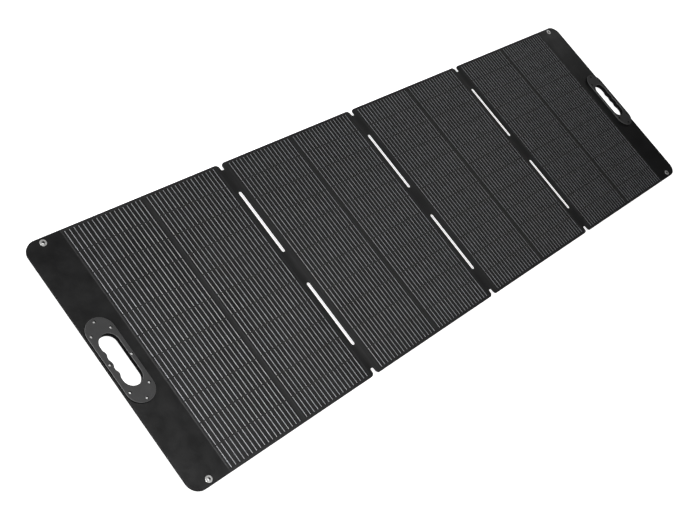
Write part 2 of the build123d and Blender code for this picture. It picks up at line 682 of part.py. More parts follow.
save("gland_cap", cap)
save("gland_insert", insert)
save("gland_locknut", locknut)
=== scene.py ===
"""The finished look of a four-panel folding solar panel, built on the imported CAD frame.

Each sub-assembly is a class that builds its own pieces or dresses the frame's, and each finish is a
frozen dataclass that makes one material. main() puts them together. Lengths are in metres.
"""
import logging
import math
import random
from dataclasses import dataclass
from enum import Enum
from typing import Iterable, Optional, Sequence, Union

import bmesh
import bpy
from mathutils import Matrix, Vector


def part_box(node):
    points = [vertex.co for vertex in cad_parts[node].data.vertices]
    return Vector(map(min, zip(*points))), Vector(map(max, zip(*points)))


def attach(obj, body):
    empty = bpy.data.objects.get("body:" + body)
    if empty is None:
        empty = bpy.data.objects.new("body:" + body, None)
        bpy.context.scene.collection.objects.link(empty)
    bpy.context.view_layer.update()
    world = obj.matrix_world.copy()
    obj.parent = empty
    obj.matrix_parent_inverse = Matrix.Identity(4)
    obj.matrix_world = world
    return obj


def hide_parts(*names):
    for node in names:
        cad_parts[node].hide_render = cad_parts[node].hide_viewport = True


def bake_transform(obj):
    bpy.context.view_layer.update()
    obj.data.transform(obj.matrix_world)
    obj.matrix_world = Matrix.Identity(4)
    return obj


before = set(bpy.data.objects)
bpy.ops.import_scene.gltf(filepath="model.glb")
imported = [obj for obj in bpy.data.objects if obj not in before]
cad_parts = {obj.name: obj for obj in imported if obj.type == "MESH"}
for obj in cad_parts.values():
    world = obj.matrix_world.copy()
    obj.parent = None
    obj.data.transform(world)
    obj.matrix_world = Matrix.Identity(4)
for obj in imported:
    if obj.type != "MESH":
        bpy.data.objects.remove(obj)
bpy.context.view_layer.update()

LOG = logging.getLogger("folding_panel")
SEED = 41
WELD = 1e-7                     # corners closer than this are one corner
NOISE_SPAN = (0.3, 0.7)         # where nearly all of a noise pattern's values lie
CLOUD_SPAN = (0.35, 0.65)       # where most of them lie
WALL_SPAN = (0.1, 0.5)          # how flat a surface lies that is a wall, and one that is not
CHAMFER_SPAN = (0.8, 0.95)      # the same for a chamfer
SPECULAR = 0.4                  # the specular level of film and plastic

Colour = tuple[float, float, float]
Place = tuple[float, float, float]
Spot = Span = tuple[float, float]
Grain = tuple[float, float]     # the width of a relief's grains and how deep they are, in metres
Socket = bpy.types.NodeSocket
Value = Union[Socket, float, Colour]


class Flap(Enum):
    """Which way a panel's plain end flap points, if it has one."""

    LEFT = -1
    NONE = 0
    RIGHT = 1


class Layer(Enum):
    """The layers inside a panel, named as the end of their nodes' names."""

    BOARD = "stiffener_board"
    FABRIC = "back_fabric"
    ENCAPSULANT = "encapsulant"
    CELLS = "cells"


class Axis(Enum):
    """A direction that a pattern runs in, as the stretch that makes it long that way."""

    X = (0.04, 1.0, 1.0)
    Y = (1.0, 0.04, 1.0)
    Z = (1.0, 1.0, 0.04)


# ---- materials ---------------------------------------------------------------------------------------
class Graph:
    """One material's nodes, added a call at a time and read by the piece's own coordinates."""

    def __init__(self, name: str) -> None:
        """Starts a material with one Principled shader.

        Args:
            name: what the material is called.
        """
        self.material = bpy.data.materials.new(name)
        self.material.use_nodes = True
        self.tree = self.material.node_tree
        self.tree.nodes.clear()
        self.shader = self.add("ShaderNodeBsdfPrincipled")
        output = self.add("ShaderNodeOutputMaterial")
        self.tree.links.new(self.shader.outputs["BSDF"], output.inputs["Surface"])
        coordinates = self.add("ShaderNodeTexCoord")
        self.place = coordinates.outputs["Object"]
        self.facing = coordinates.outputs["Normal"]

    def add(self, kind: str, **settings: object) -> bpy.types.Node:
        """Adds a node.

        Args:
            kind: Blender's name for the type of node.
            settings: the node's own properties.

        Returns:
            The new node.
        """
        node = self.tree.nodes.new(kind)
        for key, value in settings.items():
            setattr(node, key, value)
        return node

    def feed(self, socket: Socket, value: Value) -> None:
        """Links an input to another node, or sets its constant.

        Args:
            socket: the input.
            value: an output to link, or a number or colour.
        """
        if isinstance(value, bpy.types.NodeSocket):
            self.tree.links.new(value, socket)
        elif isinstance(value, tuple) and len(socket.default_value) == 4:
            socket.default_value = (*value, 1.0)
        else:
            socket.default_value = value

    def set(self, **inputs: Value) -> None:
        """Sets the shader's inputs.

        Args:
            inputs: each input's name, with _ for a space, and its value.
        """
        for name, value in inputs.items():
            self.feed(self.shader.inputs[name.replace("_", " ")], value)

    def stretched(self, factors: Place) -> Socket:
        """The piece's coordinates, multiplied axis by axis.

        Args:
            factors: what X, Y and Z are multiplied by.

        Returns:
            The stretched coordinates.
        """
        node = self.add("ShaderNodeMapping")
        self.feed(node.inputs["Vector"], self.place)
        node.inputs["Scale"].default_value = factors
        return node.outputs["Vector"]

    def part(self, vector: Socket, index: int) -> Socket:
        """The X, Y or Z of a vector, by index."""
        node = self.add("ShaderNodeSeparateXYZ")
        self.feed(node.inputs[0], vector)
        return node.outputs[index]

    def lying(self) -> Socket:
        """How flat the surface lies: 1 where it is level, 0 on an upright wall."""
        return self.calc("ABSOLUTE", self.part(self.facing, 2))

    def upright(self) -> Socket:
        """Where the surface stands upright: 1 on a wall, 0 where it lies flat or slopes."""
        return self.remap(self.lying(), *WALL_SPAN, 1.0, 0.0)

    def sloping(self) -> Socket:
        """Where the surface slopes, as a chamfer does: 1 at about 45 degrees, 0 where it lies flat."""
        return self.remap(self.lying(), *CHAMFER_SPAN, 1.0, 0.0)

    def noise(
        self, size: float, detail: float = 3.0, rough: float = 0.5, place: Optional[Socket] = None
    ) -> Socket:
        """Smooth noise.

        Args:
            size: the width of its largest blots, in metres.
            detail: how many finer layers it has.
            rough: how strong those are.
            place: coordinates to use instead of the piece's own.

        Returns:
            The noise, from 0 to 1.
        """
        node = self.add("ShaderNodeTexNoise")
        self.feed(node.inputs["Vector"], place or self.place)
        node.inputs["Scale"].default_value = 1.0 / size
        node.inputs["Detail"].default_value = detail
        node.inputs["Roughness"].default_value = rough
        return node.outputs[0]

    def grains(self, size: float, random_share: float = 1.0) -> Socket:
        """The distance to the nearest grain of a packed pattern.

        Args:
            size: the distance between grains, in metres.
            random_share: 0 for a regular grid, 1 for loose grains.

        Returns:
            The distance, in grain widths.
        """
        node = self.add("ShaderNodeTexVoronoi")
        self.feed(node.inputs["Vector"], self.place)
        node.inputs["Scale"].default_value = 1.0 / size
        node.inputs["Randomness"].default_value = random_share
        return node.outputs["Distance"]

    def calc(self, operation: str, first: Value, second: Value = 0.0) -> Socket:
        """One step of arithmetic.

        Args:
            operation: Blender's name for it.
            first: the first number.
            second: the second number, where it takes one.

        Returns:
            The result.
        """
        node = self.add("ShaderNodeMath", operation=operation)
        self.feed(node.inputs[0], first)
        self.feed(node.inputs[1], second)
        return node.outputs[0]

    def waves(self, index: int, pitch: float) -> Socket:
        """A smooth wave along one axis.

        Args:
            index: 0, 1 or 2 for X, Y or Z.
            pitch: the distance from crest to crest, in metres.

        Returns:
            The wave, from -1 to 1.
        """
        return self.calc("SINE", self.calc("MULTIPLY", self.part(self.place, index), 2 * math.pi / pitch))

    def remap(self, value: Socket, low: float, high: float, to_low: float, to_high: float) -> Socket:
        """Maps one range to another, held at its ends.

        Args:
            value: what is mapped.
            low: the value that becomes to_low.
            high: the value that becomes to_high.
            to_low: the result's first end.
            to_high: the result's other end.

        Returns:
            The mapped value.
        """
        node = self.add("ShaderNodeMapRange")
        for socket, number in zip(node.inputs, (value, low, high, to_low, to_high)):
            self.feed(socket, number)
        return node.outputs[0]

    def spread(self, pattern: Socket, low: float, high: float) -> Socket:
        """Spreads the usual values of a noise pattern over a range.

        Args:
            pattern: the noise.
            low: what its low values become.
            high: what its high values become.

        Returns:
            The spread pattern.
        """
        return self.remap(pattern, *NOISE_SPAN, low, high)

    def mix(self, share: Value, first: Value, second: Value) -> Socket:
        """A mix of two colours.

        Args:
            share: how much of the second colour there is.
            first: the first colour.
            second: the second colour.

        Returns:
            The mixed colour.
        """
        node = self.add("ShaderNodeMix", data_type="RGBA")
        colours = [socket for socket in node.inputs if socket.type == "RGBA"]
        self.feed(node.inputs[0], share)
        self.feed(colours[0], first)
        self.feed(colours[1], second)
        return next(socket for socket in node.outputs if socket.type == "RGBA")

    def bump(self, height: Socket, depth: float, under: Optional[Socket] = None) -> Socket:
        """Relief from a height.

        Args:
            height: the height, about from 0 to 1.
            depth: how deep that is, in metres.
            under: the relief that this one lies on.

        Returns:
            The bent normal.
        """
        node = self.add("ShaderNodeBump")
        node.inputs["Distance"].default_value = depth
        self.feed(node.inputs["Height"], height)
        if under is not None:
            self.feed(node.inputs["Normal"], under)
        return node.outputs["Normal"]

    def relief(self, grain: Grain, detail: float = 2.0, under: Optional[Socket] = None) -> Socket:
        """Relief from noise.

        Args:
            grain: the noise's width and depth.
            detail: how many finer layers it has.
            under: the relief that this one lies on.

        Returns:
            The bent normal.
        """
        size, depth = grain
        return self.bump(self.noise(size, detail), depth, under)


def shade(colour: Colour, factor: float) -> Colour:
    """A lighter or darker version of a colour.

    Args:
        colour: the colour.
        factor: what each part of it is multiplied by.

    Returns:
        The new colour.
    """
    return tuple(min(1.0, part * factor) for part in colour)


@dataclass(frozen=True)
class Finish:
    """What one surface is made of.

    Attributes:
        name: the material's name.
        colour: its middle colour.
        roughness: its middle roughness.
        patches: the width of its patches of tone, and how far the colour goes each way, as a share.
        uneven: how far the roughness goes below its middle and above it.
    """

    name: str
    colour: Colour
    roughness: float
    patches: Grain = (0.02, 0.08)
    uneven: Span = (0.06, 0.08)

    def material(self) -> bpy.types.Material:
        """The finish's material, made the first time that it is asked for."""
        made = bpy.data.materials.get(self.name)
        if made is None:
            graph = Graph(self.name)
            self.paint(graph)
            made = graph.material
        return made

    def paint(self, graph: Graph) -> None:
        """Adds the finish's nodes.

        Args:
            graph: the material to fill.
        """
        raise NotImplementedError

    def mottled(self, graph: Graph) -> Socket:
        """The finish's colour, with its patches of tone."""
        size, spread = self.patches
        clouds = graph.remap(graph.noise(size, 4.0), *CLOUD_SPAN, 0.0, 1.0)
        return graph.mix(clouds, shade(self.colour, 1 - spread), shade(self.colour, 1 + spread))

    def dull(self, graph: Graph, pattern: Socket) -> None:
        """Makes the roughness follow a noise pattern."""
        below, above = self.uneven
        graph.set(Roughness=graph.spread(pattern, self.roughness - below, self.roughness + above))


@dataclass(frozen=True)
class SmoothFilm(Finish):
    """The matt film over a flap or a fold: a fine orange peel, slow waves, and a few dust specks.

    Attributes:
        dust: how much of the surface the specks cover, from 0 to 1.
        speck: a speck's size, in metres.
        peel: the grain of the orange peel.
        lumps: the grain of its larger lumps.
        swell: the grain of the slow waves.
    """

    dust: float = 0.5
    speck: float = 0.0021
    patches: Grain = (0.055, 0.16)
    uneven: Span = (0.07, 0.08)
    peel: Grain = (0.00055, 0.00006)
    lumps: Grain = (0.004, 0.00012)
    swell: Grain = (0.12, 0.0012)

    def paint(self, graph: Graph) -> None:
        """Adds the finish's nodes."""
        specks = graph.remap(graph.noise(self.speck, 2.0), 0.74 - 0.04 * self.dust, 0.8, 0.0, 0.55)
        colour = graph.mix(specks, self.mottled(graph), shade(self.colour, 2.6))
        relief = graph.relief(self.lumps, 3.0, graph.relief(self.peel))
        graph.set(Base_Color=colour, Normal=graph.relief(self.swell, under=relief))
        self.dull(graph, graph.noise(0.03, 5.0, 0.6))
        graph.set(Specular_IOR_Level=SPECULAR)


@dataclass(frozen=True)
class DimpledFilm(Finish):
    """The embossed film beside the cells, close dimples over the back sheet.

    Attributes:
        pitch: the distance between dimples, in metres.
        depth: how deep they are pressed, in metres.
        swell: the grain of the slow waves under them.
    """

    patches: Grain = (0.013, 0.2)
    pitch: float = 0.0017
    depth: float = 0.00016
    swell: Grain = (0.09, 0.0006)

    def dimples(self, graph: Graph) -> Socket:
        """The height of the pressed pattern, from 0 in a dimple to 1 between them."""
        return graph.remap(graph.grains(self.pitch, 0.3), 0.1, 0.62, 0.0, 1.0)

    def surface(self, graph: Graph, colour: Socket, height: Socket) -> None:
        """Sets the colour, gloss and relief that an embossed film has.

        Args:
            graph: the material.
            colour: what shows through the film.
            height: the dimples' height.
        """
        glint = graph.mix(graph.calc("MULTIPLY", height, 0.45), colour, shade(self.colour, 2.1))
        graph.set(Base_Color=glint, Normal=graph.bump(height, self.depth, graph.relief(self.swell)))
        self.dull(graph, graph.noise(0.04, 4.0, 0.6))
        graph.set(Specular_IOR_Level=SPECULAR)

    def paint(self, graph: Graph) -> None:
        """Adds the finish's nodes."""
        self.surface(graph, self.mottled(graph), self.dimples(graph))


@dataclass(frozen=True)
class CellUnderFilm(DimpledFilm):
    """A solar cell seen through the embossed film, with its fine printed fingers.

    Attributes:
        finger_pitch: the distance between the printed lines, in metres.
        finger: the lines' colour.
    """

    finger_pitch: float = 0.0014
    finger: Colour = (0.035, 0.035, 0.037)

    def paint(self, graph: Graph) -> None:
        """Adds the finish's nodes."""
        tone = graph.add("ShaderNodeAttribute", attribute_name=CellField.TONE).outputs["Fac"]
        silicon = graph.mix(tone, shade(self.colour, 0.72), shade(self.colour, 1.3))
        cloud = graph.spread(graph.noise(0.02, 4.0, 0.6), 0.0, 0.35)
        silicon = graph.mix(cloud, silicon, shade(self.colour, 1.45))
        printed = graph.remap(graph.waves(1, self.finger_pitch), 0.72, 1.0, 0.0, 0.5)
        self.surface(graph, graph.mix(printed, silicon, self.finger), self.dimples(graph))


@dataclass(frozen=True)
class Woven(Finish):
    """Coated plain-weave fabric, with painted shade in the gaps between its threads.

    Attributes:
        thread: the distance from thread to thread, in metres.
        weave: how deep the gaps between threads are, in metres.
        creases: the grain of the cloth's creases.
    """

    patches: Grain = (0.05, 0.14)
    uneven: Span = (0.06, 0.06)
    thread: float = 0.00085
    weave: float = 0.00016
    creases: Grain = (0.07, 0.0012)

    def paint(self, graph: Graph) -> None:
        """Adds the finish's nodes."""
        warp = graph.waves(0, 2 * self.thread)
        weft = graph.waves(1, 2 * self.thread)
        over = graph.calc("MULTIPLY", warp, weft)
        cords = graph.calc("MAXIMUM", graph.calc("ABSOLUTE", warp), graph.calc("ABSOLUTE", weft))
        height = graph.calc("ADD", graph.calc("MULTIPLY", over, 0.35), graph.calc("MULTIPLY", cords, 0.65))
        slub = graph.noise(0.006, 3.0, 0.6, graph.stretched(Axis.X.value))
        shown = graph.remap(height, -0.2, 0.9, 0.0, 1.0)
        # painted shade: the low gaps between threads are painted at 0.45 of the colour
        colour = graph.mix(shown, shade(self.colour, 0.45), self.mottled(graph))
        colour = graph.mix(graph.remap(slub, 0.45, 0.75, 0.0, 0.35), colour, shade(self.colour, 1.8))
        graph.set(Base_Color=colour, Normal=graph.bump(height, self.weave, graph.relief(self.creases, 3.0)))
        self.dull(graph, slub)
        graph.set(Sheen_Weight=0.12, Sheen_Roughness=0.5, Specular_IOR_Level=0.3)


@dataclass(frozen=True)
class Moulded(Finish):
    """Moulded plastic with a spark-eroded grain, faint flow marks, rubbed spots, painted shade on its
    upright walls and a painted highlight on its chamfers.

    Attributes:
        grain: the spark-eroded grain's width, in metres.
        depth: how deep it is.
        sinks: the grain of the slight hollows under the surface.
        rub: how light the rubbed spots are, as a multiple of the colour.
        wall: how dark the upright walls are painted, as a share of the colour: painted shade.
        edge: how light the chamfers are painted, as a multiple of the colour: a painted highlight.
        polish: how much smoother the rubbed spots are.
    """

    grain: float = 0.0006
    depth: float = 0.00007
    sinks: Grain = (0.01, 0.0001)
    rub: float = 1.5
    wall: float = 0.7
    edge: float = 1.5
    polish: float = 0.12

    def paint(self, graph: Graph) -> None:
        """Adds the finish's nodes."""
        flow = graph.noise(0.03, 3.0, 0.5, graph.stretched(Axis.Y.value))
        rubbed = graph.remap(graph.noise(0.008, 6.0, 0.7), 0.56, 0.72, 0.0, 0.7)
        streaks = graph.spread(flow, 0.0, 0.4)
        colour = graph.mix(streaks, self.mottled(graph), shade(self.colour, 1.2))
        colour = graph.mix(rubbed, colour, shade(self.colour, self.rub))
        # painted highlight: the chamfers are lightened by the edge multiple of the colour
        colour = graph.mix(graph.sloping(), colour, shade(self.colour, self.edge))
        # painted shade: the upright walls are darkened to the wall share of the colour
        colour = graph.mix(graph.upright(), colour, shade(self.colour, self.wall))
        relief = graph.bump(graph.noise(self.grain, 2.0, 0.6), self.depth)
        graph.set(Base_Color=colour, Normal=graph.relief(self.sinks, under=relief))
        graph.set(Roughness=graph.remap(rubbed, 0.0, 0.7, self.roughness, self.roughness - self.polish))
        graph.set(Specular_IOR_Level=SPECULAR)


@dataclass(frozen=True)
class Plated(Finish):
    """Plated or turned metal with fine scratches, a little tarnish and painted shade on its upright walls.

    Attributes:
        tarnish: the colour of the tarnish.
        lay: the way that the scratches run.
        metallic: how much of a metal it looks.
        wall: how dark its upright walls are painted, as a share of the colour: painted shade.
        scratch: how deep the scratches are, in metres.
    """

    patches: Grain = (0.004, 0.08)
    uneven: Span = (0.08, 0.14)
    tarnish: Colour = (0.25, 0.24, 0.22)
    lay: Axis = Axis.X
    metallic: float = 1.0
    wall: float = 1.0
    scratch: float = 0.00001

    def paint(self, graph: Graph) -> None:
        """Adds the finish's nodes."""
        scratches = graph.noise(0.0008, 4.0, 0.7, graph.stretched(self.lay.value))
        spots = graph.remap(graph.noise(0.0035, 5.0, 0.65), 0.52, 0.7, 0.0, 0.6)
        colour = graph.mix(spots, self.mottled(graph), self.tarnish)
        # painted shade: the upright walls are darkened to the wall share of the colour
        graph.set(Base_Color=graph.mix(graph.upright(), colour, shade(self.colour, self.wall)))
        self.dull(graph, scratches)
        graph.set(Normal=graph.bump(scratches, self.scratch), Metallic=self.metallic)


@dataclass(frozen=True)
class Ribbon(Finish):
    """A tinned ribbon or wire seen through film: satin, uneven along its length.

    Attributes:
        grain: the grain of the tin.
        metallic: how much of a metal it looks.
    """

    grain: Grain = (0.0004, 0.00002)
    metallic: float = 0.35

    def paint(self, graph: Graph) -> None:
        """Adds the finish's nodes."""
        along = graph.noise(0.004, 4.0, 0.65, graph.stretched((1.0, 0.35, 1.0)))
        colour = graph.mix(graph.spread(along, 0.0, 1.0), shade(self.colour, 0.7), shade(self.colour, 1.2))
        graph.set(Base_Color=colour, Normal=graph.relief(self.grain), Metallic=self.metallic)
        self.dull(graph, along)


@dataclass(frozen=True)
class Cast(Finish):
    """Rubber, foam, resin or sheet with a grain of its own.

    Attributes:
        grain: the grain's width, in metres.
        depth: how deep it is, in metres.
        pores: how dark the hollows are, as a share of the colour.
    """

    patches: Grain = (0.012, 0.12)
    uneven: Span = (0.05, 0.05)
    grain: float = 0.001
    depth: float = 0.00005
    pores: float = 0.6

    def paint(self, graph: Graph) -> None:
        """Adds the finish's nodes."""
        hollows = graph.remap(graph.grains(self.grain), 0.05, 0.5, 0.0, 1.0)
        colour = graph.mix(hollows, self.mottled(graph), shade(self.colour, self.pores))
        graph.set(Base_Color=colour, Normal=graph.bump(graph.noise(self.grain, 3.0), self.depth))
        self.dull(graph, graph.noise(0.01, 3.0))


FLAP_FILM = SmoothFilm("flap film", (0.0112, 0.0112, 0.0114), 0.37)
WEB_FILM = SmoothFilm("web film", (0.0155, 0.0155, 0.0158), 0.48, dust=0.2)
EDGE_FILM = SmoothFilm("film edge", (0.012, 0.012, 0.012), 0.5, dust=1.0)
CELL_FILM = CellUnderFilm("cell under film", (0.0060, 0.0060, 0.0064), 0.44)
BORDER_FILM = DimpledFilm("film beside cells", (0.0145, 0.0145, 0.015), 0.46)
BUSBAR = Ribbon("tinned busbar", (0.70, 0.725, 0.76), 0.42)
RIBBON = Ribbon("tinned ribbon", (0.55, 0.54, 0.52), 0.35)
FABRIC = Woven("back fabric", (0.024, 0.024, 0.026), 0.82)
# on every moulded finish here, wall is painted shade on upright walls and edge a painted highlight on
# chamfers
GRIP = Moulded("grip plastic", (0.0455, 0.0455, 0.046), 0.46, wall=0.1, edge=3.2)
BOX = Moulded("box plastic", (0.02, 0.02, 0.021), 0.5, grain=0.0008)
GLAND = Moulded("gland plastic", (0.018, 0.018, 0.019), 0.42, grain=0.0004, rub=1.8)
# wall on the screws and eyelets is painted shade on their upright walls
STEEL = Plated("screw steel", (0.96, 0.96, 0.95), 0.3, metallic=0.1, wall=0.3)
NICKEL = Plated(
    "eyelet nickel", (0.86, 0.86, 0.85), 0.26, tarnish=(0.4, 0.39, 0.36), lay=Axis.Z, metallic=0.6, wall=0.12
)
BRASS = Plated("brass", (0.74, 0.54, 0.26), 0.32, tarnish=(0.3, 0.19, 0.09), lay=Axis.Z)
BOARD = Cast("stiffener board", (0.022, 0.023, 0.021), 0.6, grain=0.0011)
POTTING = Cast("encapsulant", (0.012, 0.012, 0.013), 0.35, grain=0.004, pores=0.85)
SILICON = Cast("bare silicon", (0.02, 0.024, 0.04), 0.3, grain=0.003, pores=0.8)
RUBBER = Cast("seal rubber", (0.02, 0.02, 0.02), 0.75, grain=0.0005)
FOAM = Cast("pad foam", (0.03, 0.03, 0.032), 0.92, grain=0.0007, depth=0.0002, pores=0.4)
EPOXY = Cast("diode epoxy", (0.018, 0.018, 0.019), 0.55, grain=0.0003)


# ---- building and dressing pieces --------------------------------------------------------------------
class Shell:
    """Collects the faces of one new piece."""

    def __init__(self) -> None:
        """Starts an empty shell."""
        self.work = bmesh.new()

    def point(self, x: float, y: float, z: float) -> bmesh.types.BMVert:
        """A new corner at a place."""
        return self.work.verts.new((x, y, z))

    def loop(self, outline: Iterable[Spot], z: float) -> list[bmesh.types.BMVert]:
        """The corners of a flat outline.

        Args:
            outline: its X and Y places, in order.
            z: its height.

        Returns:
            The corners, in the same order.
        """
        return [self.point(x, y, z) for x, y in outline]

    def face(self, corners: Sequence[bmesh.types.BMVert], finish: int = 0) -> None:
        """One face.

        Args:
            corners: its corners, in order.
            finish: which of the piece's finishes it wears.
        """
        self.work.faces.new(corners).material_index = finish

    def skirt(self, upper: Sequence, lower: Sequence, finish: int = 0, closed: bool = True) -> None:
        """A strip of faces between two rows of corners.

        Args:
            upper: the first row.
            lower: the second row, as long as the first.
            finish: which of the piece's finishes it wears.
            closed: whether the rows are rings.
        """
        count = len(upper)
        for i in range(count if closed else count - 1):
            j = (i + 1) % count
            self.face((upper[i], upper[j], lower[j], lower[i]), finish)

    def stack(self, rings: Sequence[Sequence]) -> None:
        """A closed body through rings of corners, one after another, with flat ends.

        Args:
            rings: the rings, each as long as the others.
        """
        for first, second in zip(rings, rings[1:]):
            self.skirt(first, second)
        self.face(rings[0][::-1])
        self.face(rings[-1])

    def fill(self, loops: Sequence[Sequence], finish: int = 0) -> None:
        """Flat triangles inside an outline and outside its holes.

        Args:
            loops: the outline and the holes, each a ring of corners.
            finish: which of the piece's finishes they wear.
        """
        edges = []
        for ring in loops:
            for i, corner in enumerate(ring):
                pair = (corner, ring[(i + 1) % len(ring)])
                edges.append(self.work.edges.get(pair) or self.work.edges.new(pair))
        once = list(dict.fromkeys(edges))   # a set's order would change from run to run
        made = bmesh.ops.triangle_fill(self.work, use_beauty=True, edges=once)
        for part in made["geom"]:
            if isinstance(part, bmesh.types.BMFace):
                part.material_index = finish

    def make(self, name: str, finishes: Sequence[Finish], sharp: float = 32.0) -> bpy.types.Object:
        """Turns the shell into a piece.

        Args:
            name: the piece's name.
            finishes: the finishes that its faces wear, by index.
            sharp: edges bent by more than this many degrees stay sharp.

        Returns:
            The new piece, in place in the row frame.
        """
        bmesh.ops.remove_doubles(self.work, verts=self.work.verts, dist=WELD)
        bmesh.ops.recalc_face_normals(self.work, faces=self.work.faces)
        mesh = bpy.data.meshes.new(name)
        self.work.to_mesh(mesh)
        self.work.free()
        for polygon in mesh.polygons:
            polygon.use_smooth = True
        mesh.set_sharp_from_angle(angle=math.radians(sharp))
        for finish in finishes:
            mesh.materials.append(finish.material())
        piece = bpy.data.objects.new(name, mesh)
        bpy.context.scene.collection.objects.link(piece)
        return piece


def arc(centre: Spot, radius: float, start: float, stop: float, steps: int) -> list[Spot]:
    """Places along an arc.

    Args:
        centre: its centre.
        radius: its radius.
        start: the angle it starts at, in degrees.
        stop: the angle it ends at.
        steps: how many spans it has.

    Returns:
        The places, both ends among them.
    """
    angles = [math.radians(start + (stop - start) * i / steps) for i in range(steps + 1)]
    return [(centre[0] + radius * math.cos(a), centre[1] + radius * math.sin(a)) for a in angles]


def stadium(centre: Spot, width: float, length: float, steps: int = 16) -> list[Spot]:
    """A ring with straight sides and round ends, its length along Y.

    Args:
        centre: its centre.
        width: its full width.
        length: its full length.
        steps: the spans of each end.

    Returns:
        The ring's places.
    """
    reach = (length - width) / 2
    upper = arc((centre[0], centre[1] + reach), width / 2, 0, 180, steps)
    return upper + arc((centre[0], centre[1] - reach), width / 2, 180, 360, steps)


def dress(node: str, finish: Finish) -> None:
    """Gives a frame node its finish.

    Args:
        node: the node's name.
        finish: what it is made of.
    """
    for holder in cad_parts[node].material_slots:
        holder.material = finish.material()
    LOG.info("dressed %s in %s", node, finish.name)


def enrol(piece: bpy.types.Object, where: str, nodes: Sequence[str]) -> bpy.types.Object:
    """Hides the frame nodes that a new piece stands for, and logs the piece.

    Args:
        piece: the piece.
        where: its place, for the log.
        nodes: the frame nodes that it stands for.

    Returns:
        The piece.
    """
    if nodes:
        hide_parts(*nodes)
    LOG.info("built %s %s, %d faces", piece.name, where, len(piece.data.polygons))
    return piece


def seat(piece: bpy.types.Object, body: str, slot: str, *nodes: str) -> bpy.types.Object:
    """Puts a new piece on its body.

    Args:
        piece: the piece.
        body: the body that it moves with.
        slot: the name of a material slot; not used.
        nodes: the frame nodes that it stands for.

    Returns:
        The piece.
    """
    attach(piece, body)
    return enrol(piece, f"on {body}", nodes)


def bend(piece: bpy.types.Object, fold: int, reach: Span, slot: str, *nodes: str) -> bpy.types.Object:
    """Bakes a new piece that lies across a fold into its place, hides the frame nodes it stands for, and
    logs it.

    Args:
        piece: the piece.
        fold: the fold's number.
        reach: where along X the web starts and ends; not used.
        slot: the name of a material slot; not used.
        nodes: the frame nodes that it stands for.

    Returns:
        The piece.
    """
    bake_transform(piece)
    return enrol(piece, f"across fold {fold}", nodes)


# ---- the cell panels ---------------------------------------------------------------------------------
@dataclass
class CellField:
    """The grid of cells in one panel, with the lines that their film follows.

    Attributes:
        panel: the panel's number.
        rows: cells along Y.
        columns: cells along X.
        row_gap: the gap between two rows.
        column_gap: the gap between two columns.
        busbars: busbars on a cell.
        rise: how far the film stands up over a cell.
        side_slope: the width of that step at a column's side.
        row_slope: its width at the gap between two rows.
    """

    panel: int
    rows: int = 11
    columns: int = 2
    row_gap: float = 0.00125
    column_gap: float = 0.0078
    busbars: int = 18
    rise: float = 0.0003
    side_slope: float = 0.0012
    row_slope: float = 0.00042

    TONE = "cell_tone"

    def __post_init__(self) -> None:
        """Reads where the cells are from the frame."""
        self.low, self.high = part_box(f"panel_{self.panel}_cells")

    @property
    def cell_x(self) -> float:
        """A cell's length along X."""
        span = self.high.x - self.low.x - (self.columns - 1) * self.column_gap
        return span / self.columns

    @property
    def cell_y(self) -> float:
        """A cell's length along Y."""
        return (self.high.y - self.low.y - (self.rows - 1) * self.row_gap) / self.rows

    def spans(self) -> tuple[list[Span], list[Span]]:
        """Each column's span along X, and each row's along Y."""
        starts_x = [self.low.x + i * (self.cell_x + self.column_gap) for i in range(self.columns)]
        starts_y = [self.low.y + i * (self.cell_y + self.row_gap) for i in range(self.rows)]
        return [(x, x + self.cell_x) for x in starts_x], [(y, y + self.cell_y) for y in starts_y]

    def lines(self) -> tuple[list[Spot], list[Spot]]:
        """The film's grid lines along X and Y, each with 1 on a cell and 0 beside it."""
        columns, rows = self.spans()
        lines_x, lines_y = [], []
        for low, high in columns:
            lines_x += [(low - self.side_slope, 0), (low, 1), (high, 1), (high + self.side_slope, 0)]
        for low, high in rows:
            lines_y += [(low - self.row_slope, 0), (low, 1), (high, 1), (high + self.row_slope, 0)]
        return lines_x, lines_y


